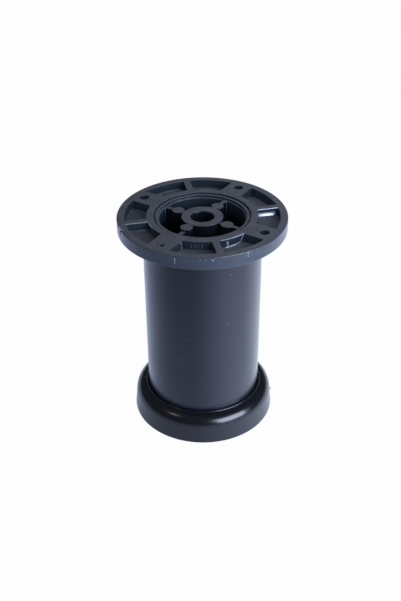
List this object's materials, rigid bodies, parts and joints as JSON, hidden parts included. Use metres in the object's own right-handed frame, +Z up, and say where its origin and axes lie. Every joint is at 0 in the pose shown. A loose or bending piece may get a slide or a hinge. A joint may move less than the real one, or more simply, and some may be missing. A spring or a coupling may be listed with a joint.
{
  "type": "adjustable cabinet leg",
  "caption": "Round furniture leg with a pocketed mounting flange, a straight tube and a round cup foot that screws in and out to level the cabinet.",
  "frame": {"origin": "middle of the foot's underside, where the leg stands on the floor", "axes": "+Z up along the tube towards the mounting flange; the flange's narrow ribs lie on X and Y and its screw holes half-way between them"},
  "size_m": [0.0724, 0.0724, 0.1],
  "materials": {
    "flange_plastic": "black moulded plastic, satin, fine grain and scuffs",
    "tube_paint": "smooth satin black coating",
    "foot_plastic": "glossy black moulding",
    "insert_plastic": "black moulded plastic, plain",
    "zinc_plated_steel": "bright zinc plating"
  },
  "bodies": {
    "column": {"top_flange": "flange_plastic", "tube": "tube_paint", "lower_insert": "insert_plastic", "captive_nut": "zinc_plated_steel"},
    "washer": {"thrust_washer": "zinc_plated_steel"},
    "foot": {"foot": "foot_plastic", "adjusting_screw": "zinc_plated_steel"}
  },
  "joints": [
    {"name": "foot_travel", "type": "slide", "parent": "column", "child": "washer", "axis": [0, 0, -1], "range_m": [0, 0.01]},
    {"name": "foot_turn", "type": "hinge", "parent": "washer", "child": "foot", "pos_m": [0, 0, 0], "axis": [0, 0, -1], "range_deg": [0, 2400]}
  ],
  "couplings": [
    {"joint": "foot_travel", "follows": "foot_turn", "m_per_rad": 0.00023873}
  ]
}
